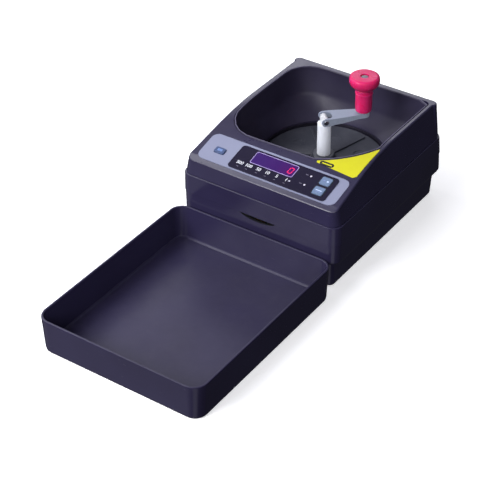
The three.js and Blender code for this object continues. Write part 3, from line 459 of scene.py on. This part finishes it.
def pill(u, v, half_u, half_v, segments):
    """Outline with all but fully round ends, so that no two points coincide."""
    return rounded_rect(u, v, half_u, half_v, half_v - 0.01, segments)


def link_to_body(name, mesh, body):
    plate_object = bpy.data.objects.new(name, mesh)
    scene.collection.objects.link(plate_object)
    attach(plate_object, body)


def plate(name, outline, material, top, bottom=PRINT_BASE, hole=None, body="housing"):
    """A thin plate from an outline and an optional hole of as many points."""
    n = len(outline)
    loops = [outline] if hole is None else [outline, hole]
    vertices = [on_panel(u, v, w) for loop in loops for w in (bottom, top) for u, v in loop]
    faces = []
    if hole is None:
        faces += [list(range(n, 2 * n)), list(range(n - 1, -1, -1))]
    for i in range(n):
        j = (i + 1) % n
        faces.append([i, j, n + j, n + i])
        if hole is not None:
            faces += [[2 * n + j, 2 * n + i, 3 * n + i, 3 * n + j],
                      [n + i, n + j, 3 * n + j, 3 * n + i],
                      [j, i, 2 * n + i, 2 * n + j]]
    mesh = bpy.data.meshes.new(name)
    mesh.from_pydata([tuple(vertex) for vertex in vertices], [], faces)
    mesh.validate()
    mesh.materials.append(MATS[material])
    bm = bmesh.new()
    bm.from_mesh(mesh)
    bmesh.ops.recalc_face_normals(bm, faces=bm.faces)
    bm.to_mesh(mesh)
    bm.free()
    for polygon in mesh.polygons:
        polygon.use_smooth = False
    link_to_body(name, mesh, body)


def printed_figure(string, u):
    name = f"figure_{string}"
    curve = bpy.data.curves.new(name + "_c", "FONT")
    curve.body = string
    curve.size = FIGURE_SIZE * MM
    curve.align_x = "CENTER"
    curve.align_y = "CENTER"
    curve.extrude = 0.02 * MM
    curve.space_character = 0.92
    curve.offset = 0.06 * MM       # thickens the strokes
    curve.resolution_u = 3
    text = bpy.data.objects.new(name + "_t", curve)
    scene.collection.objects.link(text)
    bpy.context.view_layer.update()
    depsgraph = bpy.context.evaluated_depsgraph_get()
    mesh = bpy.data.meshes.new_from_object(text.evaluated_get(depsgraph))
    bpy.data.objects.remove(text)
    basis = Matrix((PANEL_U, PANEL_V, PANEL_W)).transposed().to_4x4()
    mesh.transform(Matrix.Translation(on_panel(u, FIGURE_V, 0.73)) @ basis)
    mesh.name = name
    mesh.materials.clear()
    mesh.materials.append(MATS["ink_white"])
    link_to_body(name, mesh, "housing")


def window_frame():
    def outline(margin, radius):
        half_u, half_v = WINDOW_HALF
        return rounded_rect(*WINDOW_CENTRE, half_u + margin, half_v + margin, radius)
    plate("window_frame_line", outline(margin=0.85, radius=2.0), "ink_frame", top=0.745,
          hole=outline(margin=0.2, radius=1.35))


def lit_nought(u, v, half_width, half_height, thick, lean):
    """Six leaning bars with pointed ends, clockwise from the top."""
    corners = [(-half_width, half_height), (half_width, half_height), (half_width, 0),
               (half_width, -half_height), (-half_width, -half_height), (-half_width, 0)]
    for k, corner in enumerate(corners):
        start, end = Vector(corner), Vector(corners[(k + 1) % 6])
        along = (end - start).normalized()
        side = Vector((-along.y, along.x)) * thick / 2
        start = start + along * thick * 0.62
        end = end - along * thick * 0.62
        tip = along * thick / 2
        points = [start - tip, start + side, end + side, end + tip, end - side, start - side]
        outline = [(u + p.x + lean * p.y, v + p.y) for p in points][::-1]
        plate(f"digit_bar_{k}", outline, "digit", top=0.72, bottom=0.69)


def figures_and_lamps():
    for string, u in FIGURES:
        printed_figure(string, u)
        plate(f"tick_{string}", rounded_rect(u, 14.95, 1.1, 0.35, radius=0.3, segments=3),
              "ink_grey", top=0.74)
    plate("figure_1_dot", rounded_rect(23.5, 19.5, 0.9, 0.9, radius=0.5, segments=3),
          "ink_light", top=0.745)
    for which, v in (("upper", 33.4), ("lower", 21.6)):
        mark = rounded_rect(LAMP_MARK_U, v, 1.4, 0.5, radius=0.4, segments=3)
        plate(f"lamp_mark_{which}", mark, "ink_grey", top=0.74)
        plate(f"lamp_ring_{which}", pill(LAMP_U, v, 1.6, 1.6, segments=6), "ink_bezel",
              top=0.76, hole=pill(LAMP_U, v, 1.2, 1.2, segments=6))


def key_mark(name, outline, material, key):
    """A mark set just into the top of a key, which carries it."""
    top = top_of(key)
    plate(name, outline, material, top=top + 0.015, bottom=top - 0.01, body=key)


def key_prints():
    half_u, half_v = KEY_HALF
    for key, v, marks in KEYS:
        outer = rounded_rect(KEY_U, v, half_u + 1.25, half_v + 1.25, radius=2.5)
        inner = rounded_rect(KEY_U, v, half_u + 0.45, half_v + 0.45, radius=1.8)
        plate(f"{key}_bezel", outer, "ink_bezel", top=0.8, hole=inner)
        # each key's first mark is printed ink; the lighter second mark is print with a painted
        # highlight on it
        for i, (du, dv, *shape) in enumerate(marks):
            key_mark(f"{key}_mark_{i}", rounded_rect(KEY_U + du, v + dv, *shape, segments=3),
                     ("ink_key", "ink_glint")[i], key)
    key_mark("power_key_mark", rounded_rect(-57.0, 24.8, 2.6, 1.5, radius=0.6, segments=4),
             "ink_power", "power_key")


window_frame()
lit_nought(u=17.9, v=31.2, half_width=1.95, half_height=3.45, thick=1.0, lean=0.12)
figures_and_lamps()
key_prints()
# oval ring on the corner label
plate("label_oval", pill(43.5, 52.9, 7.3, 2.5, segments=8), "ink_black", top=0.41, bottom=0.28,
      hole=pill(43.5, 52.9, 5.3, 0.75, segments=8))


# ------------------------------------------------------------- floor and world
def build_floor():
    """A pale floor that neither tints nor mirrors in the machine."""
    mesh = bpy.data.meshes.new("floor")
    mesh.from_pydata([(-6, -6, 0), (6, -6, 0), (6, 6, 0), (-6, 6, 0)], [], [(0, 1, 2, 3)])
    floor = bpy.data.objects.new("floor", mesh)
    floor.location.z = -0.0003
    scene.collection.objects.link(floor)
    m = Mat("floor_paint")
    colour = m.mix(m.patches(scale=2, detail=2, rough=0.5),
                   (0.93, 0.93, 0.94, 1), (0.9, 0.9, 0.915, 1))
    m.set(Base_Color=colour, Roughness=0.9, Specular_IOR_Level=0.1,
          Emission_Color=(1, 1, 1, 1), Emission_Strength=0.55)
    mesh.materials.append(m.material)
    floor.visible_glossy = False
    floor.visible_diffuse = False


# soft cards low at the front left and front right: aim, cosines where each fades in, level
CARDS = (
    ((-0.60, -0.62, -0.50), (0.60, 0.98), (0.24, 0.24, 0.27)),
    ((0.46, -0.62, -0.63), (0.94, 0.99), (0.4, 0.4, 0.44)),
)


def build_world():
    world = bpy.data.worlds.new("studio")
    scene.world = world
    world.use_nodes = True
    tree = world.node_tree
    tree.nodes.clear()

    # a dim sky, brighter overhead
    direction = add_node(tree, "TexCoord").outputs["Generated"]
    height = add_node(tree, "SeparateXYZ", {0: direction}).outputs["Z"]
    level = add_node(tree, "MapRange", {"From Min": -1, "Value": height}).outputs["Result"]
    ramp = add_node(tree, "ValToRGB", {"Fac": level})
    stops = ((0.48, (0.03, 0.03, 0.035, 1)), (0.75, (0.17, 0.17, 0.2, 1)))
    for element, (position, colour) in zip(ramp.color_ramp.elements, stops):
        element.position = position
        element.color = colour
    light = ramp.outputs["Color"]

    for aim, (low, high), colour in CARDS:
        cosine = add_node(tree, "VectorMath", {0: direction, 1: Vector(aim).normalized()},
                          operation="DOT_PRODUCT").outputs["Value"]
        fade = add_node(tree, "MapRange", {"From Min": low, "From Max": high, "Value": cosine},
                        interpolation_type="SMOOTHSTEP").outputs["Result"]
        card = add_node(tree, "VectorMath", {0: colour, "Scale": fade}, operation="SCALE")
        light = add_node(tree, "VectorMath", {0: light, 1: card.outputs[0]},
                         operation="ADD").outputs[0]

    # the camera sees a pale wall; the light on the machine comes from the sky and cards
    sky = add_node(tree, "Background", {"Color": light, "Strength": 1.0})
    wall = add_node(tree, "Background", {"Color": (0.9, 0.9, 0.92, 1)})
    seen = add_node(tree, "LightPath").outputs["Is Camera Ray"]
    sight = add_node(tree, "MixShader", {0: seen, 1: sky.outputs[0], 2: wall.outputs[0]})
    add_node(tree, "OutputWorld", {"Surface": sight.outputs[0]})


build_floor()
build_world()


# ----------------------------------------------------------- lights and camera
def area(name, place, target, size, power, colour):
    light = bpy.data.lights.new(name, "AREA")
    light.shape = "RECTANGLE"
    light.size, light.size_y = size
    light.energy = power
    light.color = colour
    light.spread = math.radians(180)
    lamp = bpy.data.objects.new(name, light)
    scene.collection.objects.link(lamp)
    lamp.location = place
    aim = Vector(target) - Vector(place)
    lamp.rotation_euler = aim.to_track_quat("-Z", "Y").to_euler()


area("key_top", place=(-0.95, -0.15, 1.15), target=(0, 0, 0.05), size=(0.9, 0.9),
     power=10, colour=(0.95, 0.96, 1.0))
area("key_front", place=(-0.48, -1.35, 1.12), target=(0, 0, 0.05), size=(0.9, 0.8),
     power=34, colour=(0.98, 0.98, 1.0))
area("fill_right", place=(1.1, -1.25, 0.9), target=(0, 0, 0.08), size=(0.6, 0.6),
     power=9.0, colour=(0.97, 0.97, 1.0))
area("sheen_back", place=(-0.95, 1.25, 0.95), target=(0, 0.1, 0.08), size=(1.2, 0.5),
     power=5, colour=(0.93, 0.93, 1.0))

# the camera stands at the front right, looking down at the target
AZIMUTH, ELEVATION, ROLL = (math.radians(a) for a in (35.1118, 36.1361, -0.6772))
DISTANCE = 1.5033
TARGET = Vector((-0.03264, 0.01985 + FRONT_Y, 0))


def build_camera():
    back = Vector((math.sin(AZIMUTH) * math.cos(ELEVATION),
                   -math.cos(AZIMUTH) * math.cos(ELEVATION), math.sin(ELEVATION)))
    forward = -back
    level = forward.cross(Vector((0, 0, 1))).normalized()
    upright = level.cross(forward)
    right = level * math.cos(ROLL) + upright * math.sin(ROLL)
    up = -level * math.sin(ROLL) + upright * math.cos(ROLL)
    data = bpy.data.cameras.new("camera")
    data.sensor_width = 36.0
    data.sensor_fit = "HORIZONTAL"
    data.lens = 117.28425
    data.clip_start, data.clip_end = 0.01, 20
    camera = bpy.data.objects.new("camera", data)
    scene.collection.objects.link(camera)
    turn = Matrix((right, up, back)).transposed().to_4x4()
    camera.matrix_world = Matrix.Translation(TARGET + back * DISTANCE) @ turn
    scene.camera = camera


build_camera()
scene.view_settings.view_transform = "Standard"
